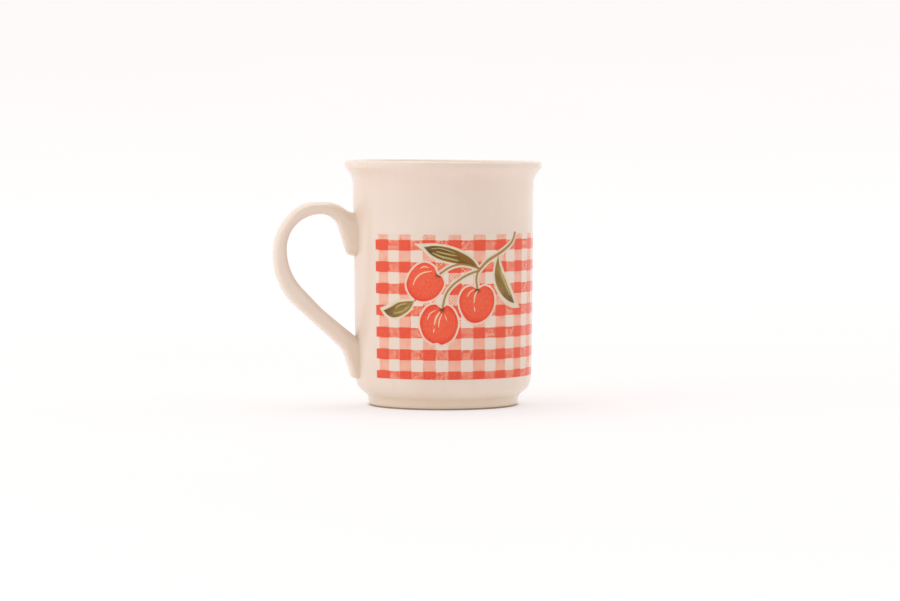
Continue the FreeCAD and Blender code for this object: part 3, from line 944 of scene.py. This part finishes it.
def flat_print(shapes):
    """The flat print's points and triangles, each triangle's ink, and its shape's number, or -1 for none."""
    places, corners = triangulated(shapes)
    centres = places[corners].mean(axis=1)
    x, y = centres[:, 0], centres[:, 1]
    owner = np.full(len(corners), -1)
    for i in range(len(shapes) - 1, -1, -1):
        owner[inside(centres, shapes[i].outline)] = i
    warp = ((x - WARP_START) % WARP_STEP < WARP_WIDTH) & (x > WARP_START)
    below = (WEFT_TOP - y) % WEFT_STEP
    weft = (below < WEFT_WIDTH) & (y < WEFT_TOP)
    pinched = weft & (below > WEFT_PINCH) & (below < WEFT_WIDTH - WEFT_PINCH)
    in_check = (x > CHECK_START) & (x < CHECK_END) & (y > CHECK_BOTTOM) & (y < CHECK_TOP)
    kinds = np.full(len(corners), "", dtype=object)
    kinds[in_check] = "ground"
    kinds[in_check & warp] = "warp"
    kinds[in_check & pinched] = "weft"
    kinds[in_check & (warp & weft | pinched & (x < WARP_START))] = "crossing"
    for i, shape in enumerate(shapes):
        kinds[owner == i] = shape.kind
    kinds[np.isin(kinds, ["ground", "leaf_halo"]) & (y > CHECK_TOP)] = ""
    return places, corners, kinds, owner


def on_wall(place, lift):
    """A place on the flat print, wrapped on the cup's wall, lifted off it by some millimetres."""
    angle = SPRIG_ANGLE + place[0] / PRINT_RADIUS
    radius = wall_radius(place[1]) + lift
    return uneven((radius * math.cos(angle), radius * math.sin(angle), place[1]))


def wall_normal(place):
    """The direction out of the cup's wall at a place on the flat print."""
    angle = SPRIG_ANGLE + place[0] / PRINT_RADIUS
    slope = wall_radius(1.0) - wall_radius(0.0)
    return Vector((math.cos(angle), math.sin(angle), -slope)).normalized()


def in_frame(place, frame_of):
    """A flat place in a shape's own frame: its origin, and the direction and scale of its first axis."""
    if frame_of is None:
        return (1.0, 1.0)
    origin, along = frame_of
    away = place - origin
    return (away.dot(along), away.dot(Vector((-along.y, along.x))))


def film_faces(corners, kinds, owner, wanted):
    """A closed film's faces, from the flat print's triangles of some kinds: its top, its back and its edges.
    Gives the flat points that the film uses, its faces, each face's kind, and its shape's number."""
    chosen = [i for i, kind in enumerate(kinds) if kind in wanted]
    used = sorted({int(v) for i in chosen for v in corners[i]})
    index = {v: n for n, v in enumerate(used)}
    count = len(used)
    faces, face_kinds, owners = [], [], []
    edges = {}
    for i in chosen:
        a, b, c = (index[int(v)] for v in corners[i])
        kind = wanted.index(kinds[i])
        faces += [(a, b, c), (c + count, b + count, a + count)]
        face_kinds += [kind] * 2
        owners += [owner[i]] * 2
        for edge in ((a, b), (b, c), (c, a)):
            edges[edge] = (kind, owner[i])
    for (start, end), (kind, own) in edges.items():
        if (end, start) not in edges:
            faces.append((end, start, start + count, end + count))
            face_kinds.append(kind)
            owners.append(own)
    return used, faces, face_kinds, owners


def lay_out(mesh, flat, owners, shapes):
    """Gives a film its flat layout and its shapes' own frames, and the wall's normals on its top and back."""
    normals = [wall_normal(place) for place in flat]
    wall_layer = mesh.uv_layers.new(name="wall")
    local_layer = mesh.uv_layers.new(name="local")
    dimple_layer = mesh.uv_layers.new(name="dimple")
    loop_normals = []
    for polygon, own in zip(mesh.polygons, owners):
        shape = shapes[own] if own >= 0 else None
        for j in polygon.loop_indices:
            v = mesh.loops[j].vertex_index
            place = Vector(flat[v])
            wall_layer.data[j].uv = place
            local_layer.data[j].uv = in_frame(place, shape.local if shape else None)
            dimple_layer.data[j].uv = in_frame(place, shape.dimple if shape else None)
            if len(polygon.vertices) == 4:
                loop_normals.append(polygon.normal.copy())
            else:
                loop_normals.append(normals[v] if v < len(flat) // 2 else -normals[v])
    mesh.normals_split_custom_set(loop_normals)


def make_film(name, materials, places, corners, kinds, owner, shapes, wanted):
    """A closed film of ink on the wall, from the flat print's triangles of some kinds."""
    used, faces, face_kinds, owners = film_faces(corners, kinds, owner, wanted)
    vertices = [on_wall(places[v], lift) for lift in (INK, -INK) for v in used]
    made = make_object(name, vertices, faces, materials, face_kinds)
    lay_out(made.data, [places[v] for v in used] * 2, owners, shapes)
    return made


def make_prints():
    """The print's four films: the check with its pale borders, the fruits, the leaves and the stems."""
    shapes = sprig_shapes(0.0) + sprig_shapes(SPRIG_STEP)
    laid_out = flat_print(shapes)
    films = [
        ("check_print", "check_ink", {
            "ground": ground_material("print_ground", GROUND, GROUND_SHADE),
            "fruit_halo": ground_material("fruit_border", FRUIT_HALO, FRUIT_HALO_SHADE),
            "leaf_halo": ground_material("leaf_border", LEAF_HALO, LEAF_HALO_SHADE),
            "warp": weave_material("check_warp", CHECK_BLUSH, CHECK_MID, 0.46, (0.9, 0.4)),
            "weft": weave_material("check_weft", CHECK_PALE, CHECK_DEEP, 0.78, (0.8, 0.8)),
            "crossing": solid_material(),
        }),
        ("fruit_print", "fruit_ink", {
            "fruit": fruit_material(),
            "highlight": stroke_material("fruit_highlight", HIGHLIGHT, HIGHLIGHT_PINK),
        }),
        ("leaf_print", "leaf_ink", {
            "leaf": leaf_material("leaf_olive", LEAF, LEAF_DARK),
            "gold_leaf": leaf_material("leaf_gold", LEAF_GOLD, LEAF_DARK),
            "leaf_rim": leaf_material("leaf_rim", LEAF_EDGE, LEAF),
            "vein": stroke_material("leaf_vein", VEIN, VEIN_DEEP),
        }),
        ("stem_print", "stem_ink", {
            "stem": stroke_material("stem_edge", STEM_EDGE, STEM_EDGE_PALE),
            "stem_core": stroke_material("stem_core", STEM, STEM_PALE),
        }),
    ]
    for node, slot, kinds in films:
        film = make_film(f"{node}_ink", list(kinds.values()), *laid_out, shapes, list(kinds))
        keep(film, slot, node)


# ---- the studio -------------------------------------------------------------------------------------------

# The camera's place is in metres, its lens in millimetres.
VIEW_ANGLE = math.radians(-9.0)
TILT = math.radians(3.05)
DISTANCE = 1.399
EYE_HEIGHT = 0.1155
ASIDE = 0.00265
LENS = 142.2

# The table's glow is low under the mug, a painted contact shadow, and rises across a thin ring at the foot's
# edge; it grows far away. Radii are in metres.
FLOOR_GLOW = 0.48
CONTACT_SHADOW_GLOW = 0.12
CONTACT_SHADOW_BAND = (0.0286, 0.0303)
FAR_GLOW = 0.10
FAR_BAND = (0.3, 1.6)
# The table's profile, in millimetres: flat, then curving up.
TABLE_PROFILE = [(0.0, 0.0), (2300.0, 0.0, 6000.0), (4600.0, 1000.0)]
TABLE_FACETS = 96

# The surroundings dim towards DIM_SIDE. SKY_SPAN holds two leans towards it, then the strength at each.
DIM_SIDE = (0.08, -1.0, 0.0)
SKY_SPAN = (-0.25, 1.0, 1.02, 0.38)
LIGHT_TARGET = Vector((0, 0, 0.05))


def make_camera():
    """The camera, a little above the rim and tilted down, with the handle on its left."""
    data = bpy.data.cameras.new("camera")
    data.sensor_width = 36.0
    data.lens = LENS
    data.clip_start = 0.01
    camera = bpy.data.objects.new("camera", data)
    towards = Vector((math.sin(VIEW_ANGLE), -math.cos(VIEW_ANGLE), 0))
    right = Vector((math.cos(VIEW_ANGLE), math.sin(VIEW_ANGLE), 0))
    camera.location = towards * DISTANCE + right * ASIDE + Vector((0, 0, EYE_HEIGHT))
    camera.rotation_euler = (math.pi / 2 - TILT, 0, VIEW_ANGLE)
    bpy.context.scene.collection.objects.link(camera)
    bpy.context.scene.camera = camera


def table_material():
    """A white table, lit so brightly that it glows, with a painted contact shadow where the mug stands, where
    its glow is low.
    """
    n = Nodes("studio_white", Roughness=0.9)
    n.shader.inputs["Specular IOR Level"].default_value = 0.1
    n.shader.inputs["Emission Color"].default_value = TABLE_LIGHT
    place = n.place()
    reach = n.length(place)
    # Painted contact shadow: the glow is low under the mug and rises across the foot's edge.
    near = n.span(reach, *CONTACT_SHADOW_BAND, CONTACT_SHADOW_GLOW, FLOOR_GLOW)
    far = n.span(reach, *FAR_BAND, 0.0, FAR_GLOW)
    n.link(n.math("ADD", near, far), n.shader.inputs["Emission Strength"])
    drift = n.span(n.noise(place, 3.0, 2.0), 0.3, 0.7)
    return n.finish(n.mix(drift, TABLE, TABLE_PALE))


def make_floor():
    """The table, flat round the mug and curving up far away."""
    profile = refined(rounded(TABLE_PROFILE, 60.0), 200.0)
    vertices, _, faces, _ = turned(profile, TABLE_FACETS, [0] * (len(profile) - 1))
    faces = [face[::-1] for face in faces]
    make_object("studio_floor", vertices, faces, [table_material()])


def make_sky():
    """White surroundings, dimmer on the side that the camera stands on."""
    world = bpy.data.worlds.new("studio")
    bpy.context.scene.world = world
    world.use_nodes = True
    tree = world.node_tree
    background = tree.nodes["Background"]
    background.inputs["Color"].default_value = SKY_LIGHT
    coordinates = tree.nodes.new("ShaderNodeTexCoord")
    dot = tree.nodes.new("ShaderNodeVectorMath")
    dot.operation = "DOT_PRODUCT"
    dot.inputs[1].default_value = DIM_SIDE
    span = tree.nodes.new("ShaderNodeMapRange")
    span.interpolation_type = "SMOOTHSTEP"
    for socket, value in zip(("From Min", "From Max", "To Min", "To Max"), SKY_SPAN):
        span.inputs[socket].default_value = value
    tree.links.new(coordinates.outputs["Generated"], dot.inputs[0])
    tree.links.new(dot.outputs["Value"], span.inputs["Value"])
    tree.links.new(span.outputs["Result"], background.inputs["Strength"])


def make_light(name, azimuth, elevation, distance, size, power):
    """A square soft light of a size in metres, turned to the mug, at a place given by angles in degrees."""
    data = bpy.data.lights.new(name, "AREA")
    data.shape = "RECTANGLE"
    data.size = size
    data.size_y = size
    data.energy = power
    light = bpy.data.objects.new(name, data)
    azimuth, elevation = math.radians(azimuth), math.radians(elevation)
    level = math.cos(elevation)
    away = Vector((math.cos(azimuth) * level, math.sin(azimuth) * level, math.sin(elevation)))
    light.location = LIGHT_TARGET + away * distance
    light.rotation_euler = away.to_track_quat("Z", "Y").to_euler()
    bpy.context.scene.collection.objects.link(light)


def make_studio():
    """The table, the surroundings and three soft lights."""
    make_floor()
    make_sky()
    make_light("left_softbox", 204, 30, 1.6, 1.4, 4.4)
    make_light("right_softbox", -12, 30, 1.8, 1.4, 2.0)
    make_light("top_softbox", 110, 78, 1.5, 1.2, 4.8)
    bpy.context.scene.view_settings.view_transform = "Standard"


make_camera()
glaze = glaze_material()
make_cup([glaze, biscuit_material()])
make_handle(glaze)
make_prints()
make_studio()
